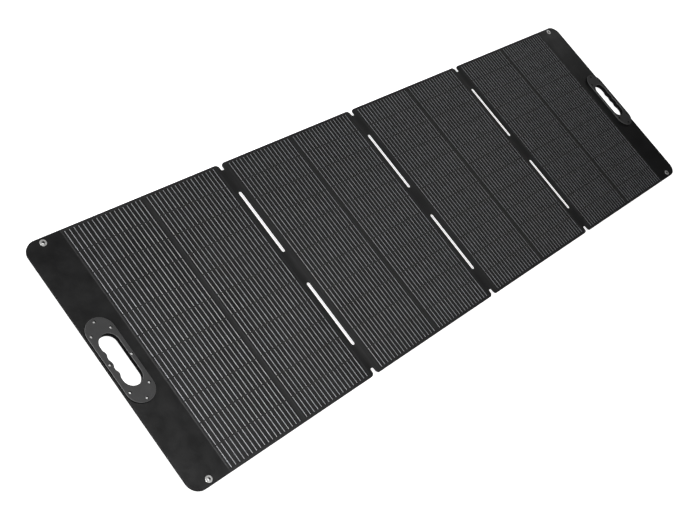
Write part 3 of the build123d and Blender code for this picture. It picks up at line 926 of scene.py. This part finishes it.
@dataclass
class PanelFilm:
    """The film over one panel, standing up a little over each cell.

    Attributes:
        cells: the panel's cells.
        flap: which way its flap points.
        corner: the radius of a flap's corners.
        flap_width: from the outer edge to the cell panel.
        rounding: how far the film's edge is rounded.
        passage: the width and length of the hole under the grip plate.
        passage_shift: how far inboard of the plate's centre it is.
        eyelet_hole: the radius of the eyelet's hole.
        spans: how many flat lengths make up a corner, and how many an eyelet's hole.
    """

    cells: CellField
    flap: Flap
    corner: float = 0.027
    flap_width: float = 0.081
    rounding: float = 0.00035
    passage: Span = (0.0436, 0.1136)
    passage_shift: float = 0.0013
    eyelet_hole: float = 0.0042
    spans: tuple[int, int] = (24, 28)

    ROUNDING_ANGLES = (30, 60, 90)
    SMOOTH, DIMPLED, CELL, EDGE = range(4)
    FINISHES = (FLAP_FILM, BORDER_FILM, CELL_FILM, EDGE_FILM)

    def __post_init__(self) -> None:
        """Reads the film's box from the frame."""
        self.low, self.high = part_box(f"panel_{self.cells.panel}_front_film")

    @property
    def divide(self) -> float:
        """Where along X the flap ends."""
        outer = self.low.x if self.flap is Flap.LEFT else self.high.x
        return outer - self.flap.value * self.flap_width

    def outline(self, inset: float) -> list[Spot]:
        """The film's outline.

        Args:
            inset: how far inside the true edge it runs.

        Returns:
            Its places in order, from the near left corner to the right, with one at each end of the
            flap's boundary.
        """
        places: list[Spot] = []
        sides = ((-1, -1, 180), (1, -1, 270), (1, 1, 0), (-1, 1, 90))
        for side_x, side_y, start in sides:
            radius = self.corner if self.flap.value == side_x else 0.0
            x = (self.low.x if side_x < 0 else self.high.x) - side_x * radius
            y = (self.low.y if side_y < 0 else self.high.y) - side_y * radius
            if radius:
                places += arc((x, y), radius - inset, start, start + 90, self.spans[0])
            else:
                places.append((x - side_x * inset, y - side_y * inset))
            if side_x * side_y > 0 and self.flap is not Flap.NONE:
                places.append((self.divide, y + side_y * (radius - inset)))
        return places

    def holes(self) -> list[list[Spot]]:
        """The holes in the flap: the passage of the grip and the two eyelets."""
        if self.flap is Flap.NONE:
            return []
        low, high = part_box(f"handle_{self.cells.panel}_front_plate")
        centre = ((low.x + high.x) / 2 - self.flap.value * self.passage_shift, 0.0)
        rings = [stadium(centre, *self.passage)]
        low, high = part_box(f"panel_{self.cells.panel}_eyelets")
        x, flange = (low.x + high.x) / 2, (high.x - low.x) / 2
        for y in (low.y + flange, high.y - flange):
            rings.append(arc((x, y), self.eyelet_hole, 0, 360, self.spans[1])[:-1])
        return rings

    def top(self, shell: Shell, rim: list) -> list[list]:
        """Builds the upper face.

        Args:
            shell: the film's shell.
            rim: the corners of its rounded edge.

        Returns:
            The corners of each hole's upper edge.
        """
        holes = [shell.loop(ring, self.high.z) for ring in self.holes()]
        field_ring = self.field(shell)
        if self.flap is Flap.NONE:
            shell.fill([rim, field_ring], self.DIMPLED)
            return holes
        marks = [i for i, corner in enumerate(rim) if abs(corner.co.x - self.divide) < WELD]
        between = rim[marks[0]:marks[1] + 1]
        around = rim[marks[1]:] + rim[:marks[0] + 1]
        flap, panel = (around, between) if self.flap is Flap.LEFT else (between, around)
        shell.fill([flap, *holes], self.SMOOTH)
        shell.fill([panel, field_ring], self.DIMPLED)
        return holes

    def field(self, shell: Shell) -> list:
        """Builds the part over the cells, raised over each of them.

        Args:
            shell: the film's shell.

        Returns:
            The corners round its outside, in order.
        """
        lines_x, lines_y = self.cells.lines()
        grid = []
        for x, over_x in lines_x:
            rise = self.cells.rise * over_x
            grid.append([shell.point(x, y, self.high.z + rise * over_y) for y, over_y in lines_y])
        for i in range(len(lines_x) - 1):
            for j in range(len(lines_y) - 1):
                raised = lines_x[i][1] and lines_x[i + 1][1] and lines_y[j][1] and lines_y[j + 1][1]
                finish = self.CELL if raised else self.DIMPLED
                shell.face((grid[i][j], grid[i + 1][j], grid[i + 1][j + 1], grid[i][j + 1]), finish)
        near = [column[0] for column in grid]
        far = [column[-1] for column in grid]
        return near + grid[-1][1:-1] + far[::-1] + grid[0][-2:0:-1]

    def tones(self, piece: bpy.types.Object) -> None:
        """Gives each cell its own shade, and every other face a middle one.

        Args:
            piece: the film.
        """
        rng = random.Random(SEED + self.cells.panel)
        tone = piece.data.attributes.new(CellField.TONE, "FLOAT", "FACE")
        for polygon in piece.data.polygons:
            is_cell = polygon.material_index == self.CELL
            tone.data[polygon.index].value = rng.random() if is_cell else 0.5

    def build(self) -> bpy.types.Object:
        """Builds the film.

        Returns:
            The piece, on its panel.
        """
        shell = Shell()
        foot = shell.loop(self.outline(0.0), self.low.z)
        rings = [foot, shell.loop(self.outline(0.0), self.high.z - self.rounding)]
        for angle in self.ROUNDING_ANGLES:
            turn = math.radians(angle)
            inset = self.rounding * (1 - math.cos(turn))
            z = self.high.z - self.rounding * (1 - math.sin(turn))
            rings.append(shell.loop(self.outline(inset), z))
        for lower, upper in zip(rings, rings[1:]):
            shell.skirt(upper, lower, self.EDGE)
        upper_holes = self.top(shell, rings[-1])
        lower_holes = [shell.loop(ring, self.low.z) for ring in self.holes()]
        for upper, lower in zip(upper_holes, lower_holes):
            shell.skirt(upper, lower, self.EDGE)
        shell.fill([foot, *lower_holes], self.SMOOTH)
        number = self.cells.panel
        piece = shell.make(f"panel_{number}_film", self.FINISHES, sharp=12.0)
        self.tones(piece)
        return seat(piece, f"panel_{number}", "etfe_film", f"panel_{number}_front_film")


@dataclass
class Busbars:
    """The bright busbars of one panel, broken at every gap between cells, with solder at their ends.

    Attributes:
        cells: the panel's cells.
        width: a busbar's width.
        crown: the width of its flat top.
        height: how far it stands up from the film.
        sunk: how far it reaches down into the film.
        setback: from a cell's edge to a busbar's end.
        pad: half the length, half the width and the height of the solder at an end.
        wander: how far a busbar strays sideways, as a share of its width.
        play: how much shorter it may be at an end.
    """

    cells: CellField
    width: float = 0.00092
    crown: float = 0.0006
    height: float = 0.00014
    sunk: float = 0.00005
    setback: float = 0.0004
    pad: Place = (0.0008, 0.00065, 0.00018)
    wander: float = 0.1
    play: float = 0.0003

    BEAD = ((1.0, 0.3), (0.55, 1.0))    # the bead's shoulder and top: share of its width and height
    BEAD_SIDES = 8

    def strip(self, shell: Shell, x: float, low: float, high: float, z: float) -> None:
        """One length of busbar.

        Args:
            shell: the busbars' shell.
            x: its centre line.
            low: where it starts along Y.
            high: where it ends.
            z: the film's height.
        """
        half, flat = self.width / 2, self.crown / 2
        rows = []
        for y, level in ((low, 0.0), (low + half, 1.0), (high - half, 1.0), (high, 0.0)):
            top = z + self.height * level
            left = ((-half, z - self.sunk), (-half, z), (-flat, top))
            sides = left + tuple((-across, level_z) for across, level_z in left[::-1])
            rows.append([shell.point(x + across, y, level_z) for across, level_z in sides])
        shell.stack(rows)

    def solder(self, shell: Shell, x: float, y: float, z: float) -> None:
        """The low bead of solder on a busbar's end.

        Args:
            shell: the busbars' shell.
            x: its centre along X.
            y: its centre along Y.
            z: the film's height.
        """
        length, width, height = self.pad
        turn = 180 / self.BEAD_SIDES
        rings = []
        for share, level in ((1.0, -self.sunk), *((share, level * height) for share, level in self.BEAD)):
            ring = arc((0.0, 0.0), share, turn, turn + 360, self.BEAD_SIDES)[:-1]
            rings.append(shell.loop([(x + a * width, y + b * length) for a, b in ring], z + level))
        shell.stack(rings)

    def build(self) -> bpy.types.Object:
        """Builds the busbars of every cell.

        Returns:
            The piece, on its panel.
        """
        rng = random.Random(SEED * self.cells.panel)
        shell = Shell()
        number = self.cells.panel
        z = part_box(f"panel_{number}_front_film")[1].z + self.cells.rise
        pitch = self.cells.cell_x / self.cells.busbars
        columns, rows = self.cells.spans()
        for left, _ in columns:
            for i in range(self.cells.busbars):
                for low, high in rows:
                    x = left + (i + 0.5) * pitch + rng.uniform(-1, 1) * self.wander * self.width
                    start = low + self.setback + rng.uniform(0, self.play)
                    stop = high - self.setback - rng.uniform(0, self.play)
                    self.strip(shell, x, start, stop, z)
                    self.solder(shell, x, start + self.pad[0], z)
                    self.solder(shell, x, stop - self.pad[0], z)
        piece = shell.make(f"panel_{number}_busbars", (BUSBAR,), sharp=25.0)
        return seat(piece, f"panel_{number}", "tinned_copper")


@dataclass
class PanelCore:
    """What lies under a panel's film: board, fabric, potting, cells and ribbons.

    Attributes:
        panel: the panel's number.
    """

    panel: int

    FINISHES = {
        Layer.BOARD: BOARD,
        Layer.FABRIC: FABRIC,
        Layer.ENCAPSULANT: POTTING,
        Layer.CELLS: SILICON,
    }

    def ribbons(self) -> bpy.types.Object:
        """Copies the ribbons as far as the stiff panel goes, because the leads beyond it bend.

        Returns:
            The piece, on its panel.
        """
        node = f"panel_{self.panel}_bus_ribbons"
        low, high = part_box(f"panel_{self.panel}_stiffener_board")
        shell = Shell()
        shell.work.from_mesh(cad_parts[node].data)
        bmesh.ops.remove_doubles(shell.work, verts=shell.work.verts, dist=WELD)
        for edge, outward in ((low.x, -1), (high.x, 1)):
            parts = [*shell.work.verts, *shell.work.edges, *shell.work.faces]
            bmesh.ops.bisect_plane(
                shell.work, geom=parts, plane_co=(edge, 0, 0), plane_no=(outward, 0, 0), clear_outer=True
            )
            rims = [e for e in shell.work.edges if e.is_boundary]
            bmesh.ops.holes_fill(shell.work, edges=rims, sides=0)
        piece = shell.make(f"panel_{self.panel}_ribbons", (RIBBON,))
        return seat(piece, f"panel_{self.panel}", "tinned_copper", node)

    def build(self) -> None:
        """Dresses the layers and builds the ribbons."""
        for layer, finish in self.FINISHES.items():
            dress(f"panel_{self.panel}_{layer.value}", finish)
        self.ribbons()


# ---- the folds ---------------------------------------------------------------------------------------
@dataclass
class FoldWeb:
    """The bare web between two panels: film over fabric with no board, two slots and two notches.

    Attributes:
        fold: the fold's number.
        slot_width: a slot's width.
        middle_bridge: the web left between the slots.
        end_bridge: from a long edge to a slot.
        notch_depth: from a long edge to the notch's tip.
        tip: half the notch's width past its tip, and how long that takes.
        neck: half the notch's width where it starts to flare, and how far from the edge that is.
        mouth: half the notch's width at the edge.
        flare: how square the flare is, 1 for a straight one and 2 for an ellipse.
        blunt: the same for the tip.
        ramp: how far the web takes to come down from the panel's thickness to its own.
        cover: the thickness of the film that runs on over the web.
        slant: how far the crease pressed across the middle bridge leans, across per unit along.
        rim: how far an open edge is rounded.
        crease: the depth of the pressed fold line.
        crease_width: its half width.
        ripple: how high the slack web's ripples are.
        ripple_waves: the ripples' turn, in radians a metre, along the fold and across it.
        tuck: how far the rounded rim draws in, as a share of the web's thickness.
        inset: how far below the panel's back and front faces the web's edge lies.
        step: from place to place along the fold: on a bridge, beside a slot and beside a notch.
    """

    fold: int
    slot_width: float = 0.0075
    middle_bridge: float = 0.080
    end_bridge: float = 0.0735
    notch_depth: float = 0.015
    tip: Spot = (0.00375, 0.002)
    neck: Spot = (0.00425, 0.006)
    mouth: float = 0.0115
    flare: float = 1.47
    blunt: float = 2.6
    ramp: float = 0.009
    cover: float = 0.0004
    slant: float = 0.3
    rim: float = 0.0004
    crease: float = 0.0002
    crease_width: float = 0.0009
    ripple: float = 0.00006
    ripple_waves: Spot = (190.0, 420.0)
    tuck: float = 0.3
    inset: Spot = (0.0001, 0.0003)
    step: Place = (0.0035, 0.008, 0.0018)

    TURN_SPANS = 8      # places where an opening's edge turns
    FLARE_SPANS = 10    # places where the notch flares
    # where across half the web the corners lie, from 0 at the panel to 1 at the fold line or opening
    COLUMNS = (0.0, 0.05, 0.1, 0.16, 0.23, 0.31, 0.4, 0.5, 0.6, 0.7, 0.79, 0.87, 0.93, 0.97, 1.0)
    FRONT, BACK = range(2)

    def __post_init__(self) -> None:
        """Reads the web's and the panels' places from the frame."""
        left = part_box(f"fold_{self.fold}_web_left")
        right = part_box(f"fold_{self.fold}_web_right")
        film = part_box(f"panel_{self.fold}_front_film")
        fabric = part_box(f"panel_{self.fold}_back_fabric")
        self.start, self.stop = left[0].x, right[1].x
        self.centre = (self.start + self.stop) / 2
        self.half = (self.stop - self.start) / 2
        self.half_width = left[1].y
        self.middle = (left[0].z + left[1].z) / 2
        self.web_z = (left[0].z, left[1].z + self.cover)
        self.panel_z = (fabric[0].z + self.inset[0], film[1].z - self.inset[1])

    def opening(self, y: float) -> float:
        """Half the width of the slot or notch at a place along the fold.

        Args:
            y: the place, measured from the middle.

        Returns:
            Half the width, 0 where the web is whole.
        """
        y = abs(y)
        radius = self.slot_width / 2
        low = self.middle_bridge / 2
        high = self.half_width - self.end_bridge
        if low < y < high:
            into = min(y - low, high - y, radius)
            return math.sqrt(max(0.0, radius**2 - (radius - into) ** 2))
        into = y - (self.half_width - self.notch_depth)
        if into <= 0:
            return 0.0
        tip_width, tip_length = self.tip
        neck_width, neck_place = self.neck
        if into < tip_length:
            return tip_width * (1 - (1 - into / tip_length) ** self.blunt) ** (1 / self.blunt)
        neck_at = self.notch_depth - neck_place
        if into < neck_at:
            return tip_width + (neck_width - tip_width) * (into - tip_length) / (neck_at - tip_length)
        share = min(1.0, (into - neck_at) / neck_place)
        return self.mouth - (self.mouth - neck_width) * (1 - share**self.flare) ** (1 / self.flare)

    def stations(self) -> list[float]:
        """Places along the fold, close together where an opening's edge turns."""
        radius = self.slot_width / 2
        low = self.middle_bridge / 2
        high = self.half_width - self.end_bridge
        notch = self.half_width - self.notch_depth
        neck = self.half_width - self.neck[1]
        bridge_step, slot_step, notch_step = self.step
        turns = [1 - math.cos(math.pi / 2 * i / self.TURN_SPANS) for i in range(self.TURN_SPANS + 1)]
        flares = [math.sin(math.pi / 2 * i / self.FLARE_SPANS) for i in range(self.FLARE_SPANS + 1)]
        places = self.run(0.0, low, bridge_step) + [low + radius * t for t in turns]
        places += self.run(low + radius, high - radius, slot_step) + [high - radius * t for t in turns]
        places += self.run(high, notch, bridge_step) + [notch + self.tip[1] * t for t in turns]
        places += self.run(notch + self.tip[1], neck, notch_step)
        places += [neck + self.neck[1] * t for t in flares]
        places += [self.half_width - self.rim]
        places = sorted({round(place, 7) for place in places})
        return [-place for place in places[:0:-1]] + places

    @staticmethod
    def run(start: float, stop: float, step: float) -> list[float]:
        """Even places from start to stop, both among them, about a step apart."""
        count = max(1, round((stop - start) / step))
        return [start + (stop - start) * i / count for i in range(count + 1)]

    def levels(self, across: float, y: float, side: int) -> Spot:
        """The web's lower and upper face at a place.

        Args:
            across: the distance from the fold line.
            y: the place along the fold.
            side: -1 on the left of the fold line and 1 on its right.

        Returns:
            The two heights.
        """
        gap = self.opening(y)
        down = min(1.0, (self.half - across) / self.ramp)
        down = down * down * (3 - 2 * down)
        low = self.panel_z[0] + (self.web_z[0] - self.panel_z[0]) * down
        high = self.panel_z[1] + (self.web_z[1] - self.panel_z[1]) * down
        along_wave, across_wave = self.ripple_waves
        ripple = math.sin(y * along_wave + self.fold) * math.sin(across * across_wave + 1)
        ripple *= self.ripple * down
        pressed = self.groove(across) if gap == 0 else 0.0
        if abs(y) < self.middle_bridge / 2:
            pressed += self.groove(side * across - self.slant * y) * down
        low, high = low + ripple, high + ripple - pressed
        to_rim = min(across - gap if gap else self.rim, self.half_width - abs(y), self.rim)
        share = 1 - to_rim / self.rim
        tuck = (high - low) * self.tuck * share * share
        return low + tuck, high - tuck

    def groove(self, off: float) -> float:
        """The depth of a pressed line at a distance from its middle."""
        return self.crease * math.exp(-((off / self.crease_width) ** 2))

    def build(self) -> bpy.types.Object:
        """Builds the web.

        Returns:
            The piece, across the fold from one panel to the next.
        """
        shell = Shell()
        rows = []
        for y in self.stations():
            gap = self.opening(y)
            across = [self.half - (self.half - gap) * share for share in self.COLUMNS]
            row = []
            for side in (-1, 1):
                levels = [self.levels(d, y, side) for d in across]
                lower = [shell.point(self.centre + side * d, y, z[0]) for d, z in zip(across, levels)]
                upper = [shell.point(self.centre + side * d, y, z[1]) for d, z in zip(across, levels)]
                row.append((lower, upper, gap))
            rows.append(row)
        for first, second in zip(rows, rows[1:]):
            for (low_a, up_a, gap_a), (low_b, up_b, gap_b) in zip(first, second):
                shell.skirt(up_a, up_b, self.FRONT, closed=False)
                shell.skirt(low_a, low_b, self.BACK, closed=False)
                shell.face((low_a[0], up_a[0], up_b[0], low_b[0]), self.FRONT)
                if gap_a or gap_b:
                    shell.face((low_a[-1], up_a[-1], up_b[-1], low_b[-1]), self.FRONT)
        for row in (rows[0], rows[-1]):
            for lower, upper, _ in row:
                shell.skirt(lower, upper, self.FRONT, closed=False)
        piece = shell.make(f"fold_{self.fold}_web", (WEB_FILM, FABRIC), sharp=40.0)
        nodes = (f"fold_{self.fold}_web_left", f"fold_{self.fold}_web_right")
        return bend(piece, self.fold, (self.start, self.stop), "fold_web", *nodes)


@dataclass
class FoldLeads:
    """The two flat leads inside a web, which carry the current across the fold.

    Attributes:
        web: the web that they lie in.
        width: a lead's width.
        thickness: its thickness.
        overlap: how far it reaches into each stiff panel.
        spans: how many short lengths it is made of.
    """

    web: FoldWeb
    width: float = 0.008
    thickness: float = 0.0002
    overlap: float = 0.0015
    spans: int = 30

    def build(self) -> bpy.types.Object:
        """Builds both leads as one piece.

        Returns:
            The piece, lying in its web.
        """
        web = self.web
        shell = Shell()
        centre_y = web.half_width - (web.end_bridge + web.notch_depth) / 2
        start, stop = web.start - self.overlap, web.stop + self.overlap
        for side in (-1, 1):
            rings = []
            for i in range(self.spans + 1):
                x = start + (stop - start) * i / self.spans
                y0, y1 = side * centre_y - self.width / 2, side * centre_y + self.width / 2
                z0, z1 = web.middle - self.thickness / 2, web.middle + self.thickness / 2
                rings.append([shell.point(x, y, z) for y, z in ((y0, z0), (y1, z0), (y1, z1), (y0, z1))])
            shell.stack(rings)
        piece = shell.make(f"fold_{web.fold}_leads", (RIBBON,))
        return bend(piece, web.fold, (web.start, web.stop), "tinned_copper")


# ---- the ends ----------------------------------------------------------------------------------------
@dataclass
class CarryEnd:
    """One end flap: its board, the grip plates with their screws, and the two eyelets.

    Attributes:
        panel: the number of the panel that it belongs to.
    """

    panel: int

    HANDLE = {"front_plate": GRIP, "rear_plate": GRIP, "screws": STEEL, "inserts": BRASS}
    FLAP = {"flap_board": BOARD, "eyelets": NICKEL, "eyelet_washers": NICKEL}

    def build(self) -> None:
        """Dresses everything on the flap."""
        for group, finishes in (("handle", self.HANDLE), ("panel", self.FLAP)):
            for part, finish in finishes.items():
                dress(f"{group}_{self.panel}_{part}", finish)


class JunctionBox:
    """The box on the back of the last panel, with its gland."""

    FINISHES = {
        "junction_box_base": BOX,
        "junction_box_lid": BOX,
        "junction_box_seal": RUBBER,
        "junction_box_screws": STEEL,
        "junction_box_pad": FOAM,
        "feed_strips": RIBBON,
        "terminals": BRASS,
        "bypass_diodes": EPOXY,
        "gland_body": GLAND,
        "gland_cap": GLAND,
        "gland_insert": RUBBER,
        "gland_locknut": GLAND,
    }

    def build(self) -> None:
        """Dresses the box's pieces."""
        for node, finish in self.FINISHES.items():
            dress(node, finish)


# ---- the studio --------------------------------------------------------------------------------------
@dataclass(frozen=True)
class PaleFloor(Finish):
    """A pale floor that glows a little, so that shadows on it stay faint.

    Attributes:
        glow: how much it glows.
    """

    patches: Grain = (0.5, 0.01)
    glow: float = 0.97

    def paint(self, graph: Graph) -> None:
        """Adds the finish's nodes."""
        graph.set(Base_Color=self.mottled(graph), Roughness=self.roughness)
        graph.set(Emission_Color=(1.0, 1.0, 1.0), Emission_Strength=self.glow)


FLOOR = PaleFloor("pale floor", (0.86, 0.86, 0.86), 0.9)


@dataclass
class Lamp:
    """One soft, square light.

    Attributes:
        name: its name.
        place: where it is.
        aim: what it points at.
        size: its width.
        power: its power in watts.
    """

    name: str
    place: Place
    aim: Place
    size: float
    power: float

    def build(self) -> None:
        """Hangs the light."""
        data = bpy.data.lights.new(self.name, "AREA")
        data.shape = "SQUARE"
        data.size = self.size
        data.energy = self.power
        lamp = bpy.data.objects.new(self.name, data)
        bpy.context.scene.collection.objects.link(lamp)
        lamp.location = self.place
        lamp.rotation_mode = "QUATERNION"
        lamp.rotation_quaternion = (Vector(self.aim) - Vector(self.place)).to_track_quat("-Z", "Y")


@dataclass
class Studio:
    """The floor, the lights and the camera.

    Attributes:
        floor_reach: half the floor's width.
        floor_cuts: how many times each of its sides is divided.
        ambient: the brightness of the surrounding light.
        camera_place: where the camera is.
        camera_aim: what it looks at.
        camera_roll: how far it is turned about its own axis, in degrees.
        lens: its focal length, in millimetres.
        sensor: its sensor's width, in millimetres.
    """

    floor_reach: float = 9.0
    floor_cuts: int = 8
    ambient: float = 0.02
    camera_place: Place = (-1.7016, -0.4091, 1.6398)
    camera_aim: Place = (-0.2813, -0.04391, 0.017)
    camera_roll: float = 41.92
    lens: float = 53.65
    sensor: float = 36.0
    lamps: tuple[Lamp, ...] = (
        Lamp("overhead_softbox", (-1.0, -0.2, 2.4), (-0.3, 0.0, 0.0), 1.2, 46.0),
        Lamp("far_right_softbox", (4.4, 1.6, 1.9), (0.0, 0.0, 0.0), 1.0, 5.5),
        Lamp("left_softbox", (-3.2, 0.5, 1.25), (0.0, 0.0, 0.0), 0.8, 30.0),
    )

    def floor(self) -> None:
        """Lays the floor at the height that the object stands on."""
        shell = Shell()
        reach = self.floor_reach
        shell.face(shell.loop([(-reach, -reach), (reach, -reach), (reach, reach), (-reach, reach)], 0.0))
        bmesh.ops.subdivide_edges(
            shell.work, edges=shell.work.edges, cuts=self.floor_cuts, use_grid_fill=True
        )
        piece = shell.make("studio_floor", (FLOOR,))
        piece.visible_glossy = False

    def surround(self) -> None:
        """Sets the light that comes from all round."""
        world = bpy.data.worlds.new("surround")
        world.use_nodes = True
        shader = world.node_tree.nodes["Background"]
        shader.inputs["Color"].default_value = (1.0, 1.0, 1.0, 1.0)
        shader.inputs["Strength"].default_value = self.ambient
        bpy.context.scene.world = world

    def camera(self) -> None:
        """Sets up the camera."""
        data = bpy.data.cameras.new("camera")
        data.lens = self.lens
        data.sensor_width = self.sensor
        forward = (Vector(self.camera_aim) - Vector(self.camera_place)).normalized()
        level = forward.cross(Vector((0, 0, 1))).normalized()
        upright = level.cross(forward)
        roll = math.radians(self.camera_roll)
        right = level * math.cos(roll) + upright * math.sin(roll)
        up = right.cross(forward)
        turn = Matrix((right, up, -forward)).transposed().to_4x4()
        camera = bpy.data.objects.new("camera", data)
        bpy.context.scene.collection.objects.link(camera)
        camera.matrix_world = Matrix.Translation(self.camera_place) @ turn
        bpy.context.scene.camera = camera

    def build(self) -> None:
        """Builds the studio."""
        self.camera()
        self.floor()
        self.surround()
        for lamp in self.lamps:
            lamp.build()
        bpy.context.scene.view_settings.view_transform = "Standard"


FLAPS = {1: Flap.LEFT, 2: Flap.NONE, 3: Flap.NONE, 4: Flap.RIGHT}


def main() -> None:
    """Builds the model, one sub-assembly after another."""
    logging.basicConfig(level=logging.INFO, format="%(name)s: %(message)s")
    Studio().build()
    for number, flap in FLAPS.items():
        cells = CellField(number)
        PanelFilm(cells, flap).build()
        Busbars(cells).build()
        PanelCore(number).build()
        if flap is not Flap.NONE:
            CarryEnd(number).build()
    for fold in range(1, len(FLAPS)):
        web = FoldWeb(fold)
        web.build()
        FoldLeads(web).build()
    JunctionBox().build()


if __name__ == "__main__":
    main()
